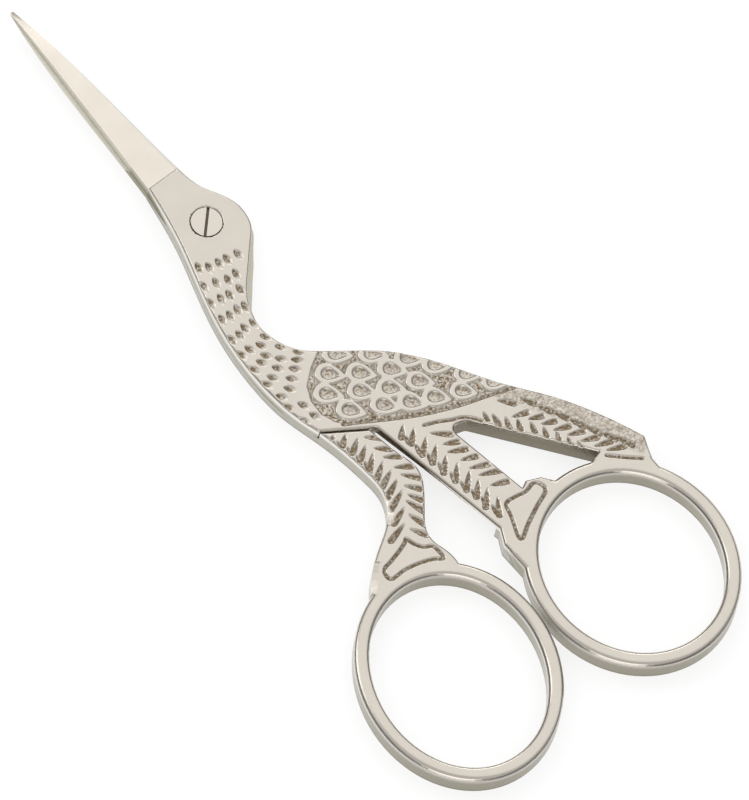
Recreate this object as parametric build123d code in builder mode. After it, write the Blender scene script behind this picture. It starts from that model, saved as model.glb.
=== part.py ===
from build123d import *
from math import cos, hypot, radians, sin
import os

# Stork embroidery scissors, closed. The pivot axis is Z through the origin, the tips point along +Y,
# and the rest face is Z = 0. Millimetres.

# Both halves
thickness = 2.8          # flat face to flat face: head, body, legs and finger rings
lap_gap = 0.04           # between the flat inner faces where one half lies over the other
closing_gap = 0.2        # between the halves' edges where each has its full thickness
edge_break = 0.2         # the chamfer all round both faces

# Blades
blade_reach = 28.6       # pivot axis to the tips
shoulder_reach = 6.1     # pivot axis to the step where the ground blade begins
root_overlap = 3.8       # how far the blade's faces run on inside the head
spine_side = 2.05        # pivot line to the blade's spine at the shoulder
front_edge_side = 2.0    # pivot line to the front blade's cutting edge at the shoulder
rear_edge_side = 2.4     # the same on the rear blade, which shows past the front one's spine
spine_thickness = 1.08   # one blade at its spine, at the shoulder
bevel_width = 0.5        # the ground bevel along the cutting edge
bevel_height = 0.62      # lap plane to the top of the bevel, at the shoulder
tip_width = 0.36         # one blade across its tip

# Head and neck
head_bulge = 3.65        # pivot line to the crown of the head
head_length = 4.3        # pivot axis to the throat below the head
neck_sway = 6.85         # pivot line to the outside of the bent neck
neck_reach = 23.2        # pivot axis to the lower end of the neck's outside
wing_side = 2.65         # pivot line to the upper end of the wing, where the neck's inside ends
wing_reach = 9.9         # and pivot axis to it
neck_overhang = 0.75     # how far the rear half's neck shows past the front one's

# Body and legs
body_reach = 26.3        # pivot axis to the foot of the body, where the legs part
foot_side = 1.1          # pivot line to the foot of the body
leg_gap = 0.62           # between the two legs
front_leg_width = 4.75
window_end = 2.0         # across the blunt upper end of the window between leg and tail
window_end_turn = -17.0  # that end's direction, degrees from +X
leg_undercut = 1.6       # how far in the front leg's underside is bevelled away, on its facing side
leg_edge_at_foot = 1.25  # what is left of the facing edge's height where the legs part
leg_edge = 0.6           # and from there down to the ankle
window_round = 0.6       # the window's two upper corners

# Finger rings: ovals, with the same section all round
rear_ring_length = 20.1  # the hole, along its long axis
rear_ring_width = 16.4
rear_ring_turn = -109.0  # its long axis, degrees from +X
front_ring_length = 19.1
front_ring_width = 17.2
front_ring_turn = -97.0
ring_band = 1.45         # hole to outside
ring_bevel = 0.3         # the chamfers that take off the band's four edges
rear_ring_reach = 50.25  # pivot axis to the ring's centre, along the pivot line
rear_ring_side = 11.3    # and across it
ring_gap = 0.5           # between the closed rings
ring_line_turn = -4.4    # rear ring's centre to the front one's, degrees from +X

# Pivot screw
screw_head_radius = 1.5
screw_head_height = 0.55
screw_radius = 0.95
screw_clearance = 0.05   # radial, where the front half turns on the shank and round the head
thread_clearance = 0.02  # radial, in the rear half, and under the head
slot_width = 0.28
slot_depth = 0.3
slot_turn = -46.0        # the slot's direction as the screw sits, degrees from +Y

overrun = 1.0            # how far a cutting solid passes the face that it opens
far = 60.0               # past every edge of the part, for cuts that take one side of a line

# Worked out
middle = thickness / 2
front_floor = middle + lap_gap / 2
rear_roof = middle - lap_gap / 2


def support(length, width, turn, direction):
    """How far an oval of these half sizes reaches from its centre in a direction."""
    angle = radians(turn - direction)
    return hypot(length * cos(angle), width * sin(angle))


rear_ring_half = (rear_ring_length / 2 + ring_band, rear_ring_width / 2 + ring_band)
front_ring_half = (front_ring_length / 2 + ring_band, front_ring_width / 2 + ring_band)
ring_distance = (
    support(*rear_ring_half, rear_ring_turn, ring_line_turn)
    + support(*front_ring_half, front_ring_turn, ring_line_turn)
    + ring_gap
)
rear_ring_centre = Vector(-rear_ring_side, -rear_ring_reach)
front_ring_centre = rear_ring_centre + Vector(ring_distance, 0).rotate(Axis.Z, ring_line_turn)


def by_rear_ring(share):
    """A place near the rear ring, in shares of the ring's outer half length."""
    return rear_ring_centre + Vector(*share) * rear_ring_half[0]


def by_front_ring(share):
    """A place near the front ring, in shares of the ring's outer half length."""
    return front_ring_centre + Vector(*share) * front_ring_half[0]


# The neck's outside, common to both halves, from the shoulder to the foot of the neck
neck_outside_shares = [(0.36, -0.165), (0.48, -0.01), (0.74, 0.228), (0.935, 0.453),
                       (1.0, 0.625), (0.97, 0.845), (0.845, 1.0)]
shoulder_outside = Vector(-spine_side, shoulder_reach)
neck_outside = [Vector(-x * neck_sway, -y * neck_reach) for x, y in neck_outside_shares]

# The head's crown and throat, from the shoulder to the throat's deepest point
shoulder_inside = Vector(front_edge_side - bevel_width, shoulder_reach)
head_shares = [(0.48, -1.0), (0.56, -0.75), (0.74, -0.46), (0.93, -0.12), (1.0, 0.16),
               (0.97, 0.45), (0.88, 0.66), (0.52, 1.0)]
head_inside = [Vector(x * head_bulge, -y * head_length) for x, y in head_shares]

# The neck's inside, from the head to the wing, and where it lies under the wing
wing_start = Vector(-wing_side, -wing_reach)
throat_shares = [(0.143, 0.12), (0.375, 0.31), (0.62, 0.51), (0.782, 0.66)]
throat_span = wing_start - head_inside[-1]
throat = [head_inside[-1] + Vector(x * throat_span.X, y * throat_span.Y) for x, y in throat_shares]

# The rear half's neck shows past the front one's, from the back of the head down the throat
overhang_shares = [0.3, 0.6, 0.72, 0.94, 1.0, 1.0]
rear_throat = [
    place + Vector(share * neck_overhang, 0)
    for place, share in zip(head_inside[-2:] + throat, overhang_shares)
]
under_wing_shares = [(0.455, 0.41), (0.51, 0.46), (0.535, 0.56), (0.49, 0.72), (0.38, 0.88)]
under_wing = [Vector(-x * neck_sway, -y * body_reach) for x, y in under_wing_shares]

# The line between the legs, from the foot of the body to the corner of the front ankle
foot = Vector(-foot_side, -body_reach)
ankle_corner_share = (-0.695, 0.94)
ankle_corner = by_front_ring(ankle_corner_share)


def leg_line(share, across=0.0):
    """A place on the front leg's facing edge, or a distance across from it."""
    return foot + (ankle_corner - foot) * share + Vector(across, 0)


# The rear leg: its inside starts beside the front leg, and both sides run down to the finger ring
rear_leg_inside_shares = (0.0, 0.2, 0.38)
rear_leg_inside = [leg_line(share, -leg_gap) for share in rear_leg_inside_shares]
ankle_inside_share = (0.622, 0.72)
inside_rear_ring_share = (0.25, 0.45)
ankle_inside = by_rear_ring(ankle_inside_share)
inside_rear_ring = by_rear_ring(inside_rear_ring_share)
inside_span = ankle_inside - foot
knee_shares = [(0.04, 0.439), (0.443, 0.547), (0.773, 0.624), (1.035, 0.701), (1.106, 0.773),
               (1.0, 0.868), (0.955, 0.937), (1.0, 1.0)]
knee_inside = [foot + Vector(x * inside_span.X, y * inside_span.Y) for x, y in knee_shares]
leg_start = neck_outside[-1]
ankle_outside_share = (-0.118, 0.971)
ankle_outside = by_rear_ring(ankle_outside_share)
outside_span = ankle_outside - leg_start
rear_leg_shares = [(-0.08, 0.176), (-0.135, 0.396), (-0.123, 0.529), (-0.066, 0.596),
                   (0.04, 0.666), (0.17, 0.716), (0.317, 0.76), (0.491, 0.805), (0.68, 0.861),
                   (1.0, 1.0)]
rear_leg_outside = [
    leg_start + Vector(x * outside_span.X, y * outside_span.Y) for x, y in rear_leg_shares
]

# The front leg's undercut along its facing edge: how far down the leg, and which edge height is left
undercut_shares = [(-0.02, 0.0), (0.35, 0.75), (0.55, 1.0), (0.97, 1.0)]

# The front ankle's facet, and the tail from its end on the ring to the wing
front_ankle_shares = [(-0.764, 0.805), (-0.764, 0.514), (-0.86, 0.268)]
front_ankle = [by_front_ring(share) for share in front_ankle_shares]
tail_foot_shares = [(0.8, 0.405), (0.775, 0.505), (0.777, 0.641), (0.823, 0.759), (0.859, 0.841)]
tail_foot = [by_front_ring(share) for share in tail_foot_shares]
tail_end = tail_foot[-1]
back_shares = [(-0.018, 0.055), (-0.01, 0.092), (0.012, 0.135), (0.05, 0.174), (0.112, 0.21),
               (0.227, 0.266), (0.337, 0.322), (0.4, 0.363), (0.51, 0.457), (0.658, 0.613),
               (0.797, 0.736), (0.916, 0.872)]
back_span = tail_end - wing_start
back = [wing_start + Vector(x * back_span.X, y * back_span.Y) for x, y in back_shares]

# The window between the front leg and the tail: its blunt upper end, then its corners by the ring
window_leg_shares = (0.87, 0.27)
window_leg_side = [leg_line(share, front_leg_width) for share in window_leg_shares]
window_end_side = window_leg_side[-1] + Vector(window_end, 0).rotate(Axis.Z, window_end_turn)
window_ring_shares = [(0.445, 0.968), (0.2, 0.9), (-0.027, 1.0)]
window_ring_side = [by_front_ring(share) for share in window_ring_shares]
ankle_top_shares = [(0.725, 0.196), (0.244, -0.27)]
ankle_span = window_ring_side[-1] - window_leg_side[0]
ankle_top = [
    window_leg_side[0] + Vector(x * ankle_span.X, y * ankle_span.Y) for x, y in ankle_top_shares
]


# The parting line: the front half's edge lies on it and the rear half's upper layer ends below it
parting_run = (foot - leg_start).normalized() * far
parting_shift = Vector(0, -closing_gap)
above_parting = [
    leg_start - parting_run + parting_shift,
    foot + parting_run + parting_shift,
    Vector(far, far),
    Vector(-far, far),
]

# The lap's lower layer in the front half ends in a step beside the rear half's neck
lap_step = [place + Vector(closing_gap, 0) for place in under_wing[1:]]
lap_foot = foot - Vector(closing_gap, 0)
lap_outline = [
    lap_foot,
    foot + parting_shift,
    Vector(-far, -body_reach - closing_gap),
    Vector(-far, far),
    Vector(far, far),
    Vector(far, lap_step[0].Y),
    lap_step[0],
]


def finger_ring(centre, half, turn):
    """A finger ring: an oval band of the full thickness with its four edges bevelled."""
    with BuildPart() as ring:
        with BuildSketch():
            with Locations(Location(centre, turn)):
                Ellipse(*half)
                Ellipse(half[0] - ring_band, half[1] - ring_band, mode=Mode.SUBTRACT)
        extrude(amount=thickness)
        chamfer(ring.edges().filter_by(GeomType.ELLIPSE), ring_bevel)
    return ring.part


def inside_ring(centre, half, turn):
    """What lies inside the middle of a finger ring's band, through the full thickness."""
    with BuildPart() as core:
        with BuildSketch(Plane.XY.offset(-overrun)):
            with Locations(Location(centre, turn)):
                Ellipse(half[0] - ring_band / 2, half[1] - ring_band / 2)
        extrude(amount=thickness + 2 * overrun)
    return core.part


# Along the blade, in shares of its length from the shoulder: how much of its thickness is left, and
# how far the cutting edge bows out past a straight taper, in shares of its own side
blade_length = blade_reach - shoulder_reach
blade_shares = [(-root_overlap / blade_length, 1.0, 0.0), (0.0, 1.0, 0.0), (0.35, 0.96, 0.09),
                (0.65, 0.8, 0.16), (0.88, 0.55, 0.1), (1.0, 0.33, 0.0)]


def blade(edge_side):
    """A ground blade, flat face down on the front half's floor, with its cutting edge along +X."""
    with BuildPart() as ground:
        for along, height, bow in blade_shares:
            spine = -spine_side + (spine_side - tip_width / 2) * along
            edge = edge_side * (1 + bow) - (edge_side - tip_width / 2) * along
            bevel = bevel_width * (edge - spine) / (edge_side + spine_side)
            with BuildSketch(Plane.XZ.offset(-shoulder_reach - blade_length * along)):
                with BuildLine():
                    Polyline(
                        (spine, front_floor),
                        (spine, front_floor + spine_thickness * height),
                        (edge - bevel, front_floor + bevel_height * height),
                        (edge, front_floor),
                        close=True,
                    )
                make_face()
        loft()
    return ground.part


front_blade = blade(front_edge_side)
rear_blade = blade(rear_edge_side).rotate(Axis.Y, 180).translate((0, 0, thickness))
front_ring = finger_ring(front_ring_centre, front_ring_half, front_ring_turn)
rear_ring = finger_ring(rear_ring_centre, rear_ring_half, rear_ring_turn)

# Looking down the front leg from its foot, the undercut's plane has X across the leg
leg_run = ankle_corner - foot
leg_across = Vector(-leg_run.Y, leg_run.X).normalized()

with BuildPart() as leg_bevel:
    for along, left in undercut_shares:
        height = thickness - leg_edge_at_foot - (leg_edge - leg_edge_at_foot) * left
        slope = Vector(leg_undercut, -height).normalized() * overrun
        with BuildSketch(Plane(foot + leg_run * along, x_dir=leg_across, z_dir=leg_run)):
            with BuildLine():
                Polyline(
                    (-slope.X, height - slope.Y),
                    (leg_undercut + slope.X, slope.Y),
                    (-slope.X, slope.Y),
                    close=True,
                )
            make_face()
    loft(ruled=True)

with BuildPart() as front_half:
    with BuildSketch() as front_plan:
        with BuildLine():
            Spline(shoulder_outside, *neck_outside)
            Polyline(leg_start, foot, ankle_corner, *front_ankle, front_ring_centre)
            Polyline(front_ring_centre, *tail_foot)
            Spline(tail_end, *reversed(back), wing_start, *reversed(throat),
                   *reversed(head_inside), shoulder_inside)
            Line(shoulder_inside, shoulder_outside)
        make_face()
    extrude(amount=thickness)
    with BuildSketch() as window:
        with BuildLine():
            Polyline(*window_leg_side, window_end_side, *window_ring_side, *ankle_top, close=True)
        make_face()
        fillet(window.vertices().sort_by(Axis.Y)[-2:], window_round)
    extrude(amount=thickness, mode=Mode.SUBTRACT)
    chamfer(front_half.edges().filter_by(Plane.XY), edge_break)
    # Under the head, neck and wing only the upper layer is left, down to the lap's step
    with BuildSketch():
        with BuildLine():
            Spline(*lap_step, lap_foot)
            Polyline(*lap_outline)
        make_face()
    extrude(amount=front_floor, mode=Mode.SUBTRACT)
    add(leg_bevel.part, mode=Mode.SUBTRACT)
    add(front_blade)
    add(inside_ring(front_ring_centre, front_ring_half, front_ring_turn), mode=Mode.SUBTRACT)
    add(front_ring)
    with Locations((0, 0, thickness)):
        CounterBoreHole(
            screw_radius + screw_clearance,
            screw_head_radius + screw_clearance,
            screw_head_height + thread_clearance,
        )

with BuildPart() as rear_half:
    with BuildSketch() as rear_plan:
        with BuildLine():
            Spline(shoulder_outside, *neck_outside, *rear_leg_outside)
            Polyline(ankle_outside, inside_rear_ring, ankle_inside)
            Spline(*reversed(knee_inside), *reversed(rear_leg_inside), *reversed(under_wing),
                   *reversed(rear_throat), *reversed(head_inside[:-2]), shoulder_inside)
            Line(shoulder_inside, shoulder_outside)
        make_face()
    extrude(amount=thickness)
    chamfer(rear_half.edges().filter_by(Plane.XY), edge_break)
    # Above the parting line only the lower layer is left, under the front half
    with BuildSketch(Plane.XY.offset(rear_roof)):
        with BuildLine():
            Polyline(*above_parting, close=True)
        make_face()
    extrude(amount=thickness, mode=Mode.SUBTRACT)
    add(rear_blade)
    add(inside_ring(rear_ring_centre, rear_ring_half, rear_ring_turn), mode=Mode.SUBTRACT)
    add(rear_ring)
    Hole(screw_radius + thread_clearance)

with BuildPart() as pivot_screw:
    Cylinder(screw_radius, thickness - screw_head_height,
             align=(Align.CENTER, Align.CENTER, Align.MIN))
    with Locations((0, 0, thickness - screw_head_height)):
        Cylinder(screw_head_radius, screw_head_height,
                 align=(Align.CENTER, Align.CENTER, Align.MIN))
    with Locations(Location((0, 0, thickness), (0, 0, slot_turn))):
        Box(slot_width, 2 * screw_head_radius + overrun, 2 * slot_depth, mode=Mode.SUBTRACT)

front_half.part.label = "front_half"
rear_half.part.label = "rear_half"
pivot_screw.part.label = "pivot_screw"

os.makedirs("parts", exist_ok=True)
for piece in (front_half.part, rear_half.part, pivot_screw.part):
    export_step(piece, "parts/" + piece.label + ".step")
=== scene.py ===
"""Stork embroidery scissors: the looks of the two halves, the pivot screw and the studio."""

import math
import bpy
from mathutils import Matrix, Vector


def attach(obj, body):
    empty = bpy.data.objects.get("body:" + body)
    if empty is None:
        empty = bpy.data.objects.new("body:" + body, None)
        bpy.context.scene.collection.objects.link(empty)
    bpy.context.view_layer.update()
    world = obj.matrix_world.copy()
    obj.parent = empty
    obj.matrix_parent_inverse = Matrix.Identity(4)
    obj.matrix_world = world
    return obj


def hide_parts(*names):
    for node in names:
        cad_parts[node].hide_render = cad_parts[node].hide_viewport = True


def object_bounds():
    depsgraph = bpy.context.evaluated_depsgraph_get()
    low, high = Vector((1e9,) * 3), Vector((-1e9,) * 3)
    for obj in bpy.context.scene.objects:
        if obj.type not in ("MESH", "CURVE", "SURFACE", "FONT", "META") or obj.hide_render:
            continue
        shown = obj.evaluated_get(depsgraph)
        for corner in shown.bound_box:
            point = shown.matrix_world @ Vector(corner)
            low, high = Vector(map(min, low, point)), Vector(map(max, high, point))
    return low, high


bl_info = {
    "name": "Stork embroidery scissors",
    "version": (1, 0, 0),
    "blender": (4, 5, 0),
    "location": "View3D > Sidebar > Scissors",
    "description": "Dresses the packed scissors: chased faces, ground blades, screw and studio",
    "category": "Object",
}

import bmesh
import bpy
import numpy as np
from mathutils import Matrix, Vector, kdtree
from mathutils.geometry import delaunay_2d_cdt

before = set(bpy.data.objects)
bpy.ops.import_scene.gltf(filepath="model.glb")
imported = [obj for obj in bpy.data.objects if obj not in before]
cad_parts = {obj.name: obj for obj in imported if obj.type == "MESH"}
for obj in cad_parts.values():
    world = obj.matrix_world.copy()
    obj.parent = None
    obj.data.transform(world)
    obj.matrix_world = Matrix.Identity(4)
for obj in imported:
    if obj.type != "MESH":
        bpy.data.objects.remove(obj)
cad_low, cad_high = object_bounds()

MM = 0.001

# How the photograph looks at the upper face: millimetres in a pixel, the screw's middle and the
# picture's middle in pixels, and the way to the camera. The ornament's places come from these.
PIXEL = 0.0947
PIVOT_PIXEL = (206.6, 221.8)
IMAGE_CENTRE = (374.5, 400.0)
IMAGE_LONG_SIDE = 800
VIEW_AZIMUTH = math.radians(-141.8)
VIEW_ELEVATION = math.radians(64.4)
VIEW_ROLL = math.radians(12.59)

# The upper face's height in millimetres, and the screw's middle on it.
FACE = cad_high.z / MM
PIVOT_TOP = Vector((0.0, 0.0, FACE))


def view_axes():
    """The photograph's right, its up and the way to the viewer, in the frame's axes."""
    flat = math.cos(VIEW_ELEVATION)
    toward = Vector((math.cos(VIEW_AZIMUTH) * flat, math.sin(VIEW_AZIMUTH) * flat,
                     math.sin(VIEW_ELEVATION)))
    level = Vector((-toward.y, toward.x, 0.0)).normalized()
    rise = toward.cross(level)
    right = level * math.cos(VIEW_ROLL) + rise * math.sin(VIEW_ROLL)
    up = rise * math.cos(VIEW_ROLL) - level * math.sin(VIEW_ROLL)
    return right, up, toward


VIEW_RIGHT, VIEW_UP, VIEW_TOWARD = view_axes()


def on_face(px, py):
    """Where a pixel of the photograph falls on the upper face, in millimetres."""
    across = (px - PIVOT_PIXEL[0]) * PIXEL
    down = (py - PIVOT_PIXEL[1]) * PIXEL
    point = PIVOT_TOP + VIEW_RIGHT * across - VIEW_UP * down
    point += VIEW_TOWARD * ((FACE - point.z) / VIEW_TOWARD.z)
    return point.x, point.y


# Sizes and colours

class ScissorsShape(bpy.types.PropertyGroup):
    """Sizes of the chased ornament and of the worn edges."""

    mesh_step: bpy.props.FloatProperty(
        name="Mesh step", description="Distance between points on a chased face",
        default=0.1 * MM, min=0.05 * MM, max=0.5 * MM, unit="LENGTH")
    plain_step: bpy.props.FloatProperty(
        name="Plain step", description="Distance between points on the rings and the head",
        default=0.22 * MM, min=0.1 * MM, max=1.0 * MM, unit="LENGTH")
    skin: bpy.props.FloatProperty(
        name="Skin", description="Depth of the layer under each face that is formed anew",
        default=0.25 * MM, min=0.1 * MM, max=0.28 * MM, unit="LENGTH")
    dimple_depth: bpy.props.FloatProperty(
        name="Dimple depth", description="Depth of the punched dimples on the neck",
        default=0.17 * MM, min=0.02 * MM, max=0.24 * MM, unit="LENGTH")
    field_depth: bpy.props.FloatProperty(
        name="Field depth", description="Depth of the sunk ground between the wing feathers",
        default=0.22 * MM, min=0.02 * MM, max=0.24 * MM, unit="LENGTH")
    barb_depth: bpy.props.FloatProperty(
        name="Barb depth", description="Depth of the barb cuts on the legs and the tail",
        default=0.16 * MM, min=0.02 * MM, max=0.24 * MM, unit="LENGTH")
    groove_depth: bpy.props.FloatProperty(
        name="Groove depth", description="Depth of the engraved lines",
        default=0.16 * MM, min=0.02 * MM, max=0.24 * MM, unit="LENGTH")
    groove_width: bpy.props.FloatProperty(
        name="Groove width", description="Width of the engraved lines",
        default=0.44 * MM, min=0.1 * MM, max=1.0 * MM, unit="LENGTH")
    feather_length: bpy.props.FloatProperty(
        name="Feather length", description="Length of one raised wing feather",
        default=3.5 * MM, min=1.0 * MM, max=6.0 * MM, unit="LENGTH")
    feather_width: bpy.props.FloatProperty(
        name="Feather width", description="Width of one raised wing feather",
        default=2.4 * MM, min=0.5 * MM, max=4.0 * MM, unit="LENGTH")
    grain_height: bpy.props.FloatProperty(
        name="Grain height", description="Unevenness of the stippled ground",
        default=0.07 * MM, min=0.0, max=0.2 * MM, unit="LENGTH")


class ScissorsColours(bpy.types.PropertyGroup):
    """Colours as sRGB, before they are turned linear."""

    steel: bpy.props.StringProperty(
        name="Nickel-plated steel", description="Colour of the polished faces", default="#CFC8BE")
    patina: bpy.props.StringProperty(
        name="Patina", description="Brown colour in the deepest cuts", default="#6E5A3B")
    # The side walls' colour is painted shade: greyer and darker than the faces.
    sides: bpy.props.StringProperty(
        name="Shaded sides", description="Colour of the side walls", default="#B3B0A3")
    # Walls left as cast take this colour. It is also painted shade between the legs, under the legs and
    # on the ring walls that face down the picture.
    cast: bpy.props.StringProperty(
        name="Cast steel", description="Colour of walls left as cast", default="#857D6B")
    blade: bpy.props.StringProperty(
        name="Ground steel", description="Colour of the blades", default="#E1DACF")
    screw: bpy.props.StringProperty(
        name="Screw steel", description="Colour of the pivot screw", default="#D2CAC0")
    paper: bpy.props.StringProperty(
        name="Floor", description="Colour of the studio floor", default="#FFFFFF")


def linear(code):
    """An sRGB hex colour as linear RGBA."""
    shares = [int(code[i:i + 2], 16) / 255 for i in (1, 3, 5)]
    made = [s / 12.92 if s <= 0.04045 else ((s + 0.055) / 1.055) ** 2.4 for s in shares]
    return (*made, 1.0)


def add_node(tree, kind, inputs=None, **settings):
    """Adds a node. inputs maps a socket's name or number to a value, to another socket, or to a
    node, which stands for its first output in use."""
    node = tree.nodes.new(kind)
    for name, value in settings.items():
        setattr(node, name, value)
    for name, value in (inputs or {}).items():
        if isinstance(value, bpy.types.Node):
            value = next(socket for socket in value.outputs if socket.enabled)
        if isinstance(value, bpy.types.NodeSocket):
            tree.links.new(value, node.inputs[name])
        else:
            node.inputs[name].default_value = value
    return node


# Materials

# Shades beside the colours above, as sRGB.
STEEL_SHADE = "#C7C0B6"
# A painted highlight high on the side walls, and painted shade along their bottom edge.
PAINTED_WALL_HIGHLIGHT = "#EFECE6"
PAINTED_WALL_SHADE = "#8B867B"
BLADE_SHADE = "#D6CEC2"
BLADE_BACK_SHADE = "#D9D6CC"
# Painted shade from the screw's slot downwards.
SLOT_SHADE = "#3A3126"
WHITE = "#FFFFFF"

# Real sizes in the finishes.
SPECK = 0.26 * MM
BLOTCH = 2.5 * MM
PIT_DEPTH = 0.05 * MM
SCRATCH = 0.12 * MM
SCRATCH_DEPTH = 0.004 * MM
GRINDING_LINE = 0.1 * MM
GRINDING_DEPTH = 0.006 * MM
BLADE_CLOUD = 3 * MM
TURNING_RING = 0.9 * MM
TURNING_DEPTH = 0.003 * MM

# Heights between which a side wall takes its painted highlight and its painted shade, and painted shade
# darkens the screw from its slot down.
HIGHLIGHT_FROM, HIGHLIGHT_TO = 1.75 * MM, 2.35 * MM
BOTTOM_SHADE_FROM, BOTTOM_SHADE_TO = 0.75 * MM, 0.2 * MM
SLOT_FROM, SLOT_TO = (FACE - 0.06) * MM, (FACE - 0.2) * MM


def new_metal(name):
    metal = bpy.data.materials.new(name)
    metal.use_nodes = True
    metal.node_tree.nodes.clear()
    return metal, metal.node_tree


def finish_metal(tree, colour, roughness, relief):
    shader = add_node(tree, "ShaderNodeBsdfPrincipled",
                      {"Base Color": colour, "Metallic": 1.0, "Roughness": roughness,
                       "Normal": relief})
    add_node(tree, "ShaderNodeOutputMaterial", {"Surface": shader})


def polished_nickel(colours):
    """Nickel-plated steel, made as a casting, then chased and barrel-finished: warm grey mirror
    softened by fine wear, with brown patina left where the polishing wheel can't reach, and with
    painted shade and a painted highlight on the walls."""
    metal, tree = new_metal("polished nickel-plated steel")
    place = add_node(tree, "ShaderNodeTexCoord").outputs["Object"]
    carved, stippled, wall, cast = (
        add_node(tree, "ShaderNodeAttribute", attribute_name=mark).outputs["Fac"]
        for mark in ("carved", "stipple", "wall", "cast"))
    specks = add_node(tree, "ShaderNodeTexNoise",
                      {"Vector": place, "Scale": 1 / SPECK, "Detail": 4.0, "Roughness": 0.65})
    blotch = add_node(tree, "ShaderNodeTexNoise", {"Vector": place, "Scale": 1 / BLOTCH, "Detail": 2.0})
    # Dirt gathers in the deep cuts, thicker in one speck than in the next. The walls of the gap between
    # the legs are marked as full cuts, so there the brown is painted shade.
    dirt = add_node(tree, "ShaderNodeMapRange",
                    {"Value": specks, "From Min": 0.36, "From Max": 0.64, "To Min": 0.42, "To Max": 1.3})
    depth = add_node(tree, "ShaderNodeMath", {0: carved, 1: dirt}, operation="MULTIPLY")
    deep = add_node(tree, "ShaderNodeMapRange",
                    {"Value": depth, "From Min": 0.26, "From Max": 0.95, "To Max": 0.9},
                    interpolation_type="SMOOTHSTEP")
    # On the stippled ground it lies in single specks.
    dust = add_node(tree, "ShaderNodeMapRange",
                    {"Value": specks, "From Min": 0.4, "From Max": 0.58, "To Max": 0.95})
    spotted = add_node(tree, "ShaderNodeMath", {0: stippled, 1: dust}, operation="MULTIPLY")
    soiled_and_shaded = add_node(tree, "ShaderNodeMath", {0: deep, 1: spotted}, operation="MAXIMUM")
    steel = add_node(tree, "ShaderNodeMix",
                     {"Factor": blotch, 6: linear(STEEL_SHADE), 7: linear(colours.steel)},
                     data_type="RGBA")
    # The sides are painted greyer than the faces, as painted shade. A band under the face gets a painted
    # highlight, and the bottom edge gets painted shade.
    height = add_node(tree, "ShaderNodeSeparateXYZ", {"Vector": place}).outputs["Z"]
    highlight_band = add_node(tree, "ShaderNodeMapRange",
                      {"Value": height, "From Min": HIGHLIGHT_FROM, "From Max": HIGHLIGHT_TO},
                      interpolation_type="SMOOTHSTEP")
    bottom_shade = add_node(tree, "ShaderNodeMapRange",
                     {"Value": height, "From Min": BOTTOM_SHADE_FROM, "From Max": BOTTOM_SHADE_TO},
                     interpolation_type="SMOOTHSTEP")
    bright = add_node(tree, "ShaderNodeMix",
                      {"Factor": highlight_band, 6: linear(colours.sides), 7: linear(PAINTED_WALL_HIGHLIGHT)},
                      data_type="RGBA")
    dim = add_node(tree, "ShaderNodeMix", {"Factor": bottom_shade, 6: bright, 7: linear(PAINTED_WALL_SHADE)},
                   data_type="RGBA")
    # Painted shade: walls take the darker wall colour in place of the face's steel.
    shaded_sides = add_node(tree, "ShaderNodeMix", {"Factor": wall, 6: steel, 7: dim}, data_type="RGBA")
    # In the window the metal is as it was cast. Between the legs, under the front leg and, in part, on
    # the ring walls that face down the picture, the same colour is painted shade.
    crust = add_node(tree, "ShaderNodeMapRange",
                     {"Value": specks, "From Min": 0.3, "From Max": 0.7, "To Min": 0.75, "To Max": 1.0})
    raw_and_shaded = add_node(tree, "ShaderNodeMath", {0: cast, 1: crust}, operation="MULTIPLY")
    bare = add_node(tree, "ShaderNodeMix", {"Factor": raw_and_shaded, 6: shaded_sides, 7: linear(colours.cast)},
                    data_type="RGBA")
    colour = add_node(tree, "ShaderNodeMix", {"Factor": soiled_and_shaded, 6: bare, 7: linear(colours.patina)},
                      data_type="RGBA")
    # The wheel doesn't reach into a cut, so its floor is dull even where it is clean.
    unpolished = add_node(tree, "ShaderNodeMath", {0: carved, 1: cast}, operation="MAXIMUM")
    dull = add_node(tree, "ShaderNodeMath", {0: soiled_and_shaded, 1: unpolished}, operation="MAXIMUM")
    rough = add_node(tree, "ShaderNodeMapRange", {"Value": dull, "To Min": 0.22, "To Max": 0.5})
    # Polishing scratches are far finer than a pixel; these are drawn about 0.12 mm apart.
    along = add_node(tree, "ShaderNodeMapping",
                     {"Vector": place, "Rotation": (0.0, 0.0, math.radians(20)),
                      "Scale": (1.0, 0.12, 1.0)})
    scratches = add_node(tree, "ShaderNodeTexNoise",
                         {"Vector": along, "Scale": 1 / SCRATCH, "Detail": 3.0})
    scratched = add_node(tree, "ShaderNodeBump",
                         {"Height": scratches, "Strength": 0.25, "Distance": SCRATCH_DEPTH})
    coarse = add_node(tree, "ShaderNodeMath", {0: stippled, 1: cast}, operation="MAXIMUM")
    pitted = add_node(tree, "ShaderNodeBump",
                      {"Height": specks, "Strength": coarse, "Distance": PIT_DEPTH,
                       "Normal": scratched})
    finish_metal(tree, colour, rough, pitted)
    return metal


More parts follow.
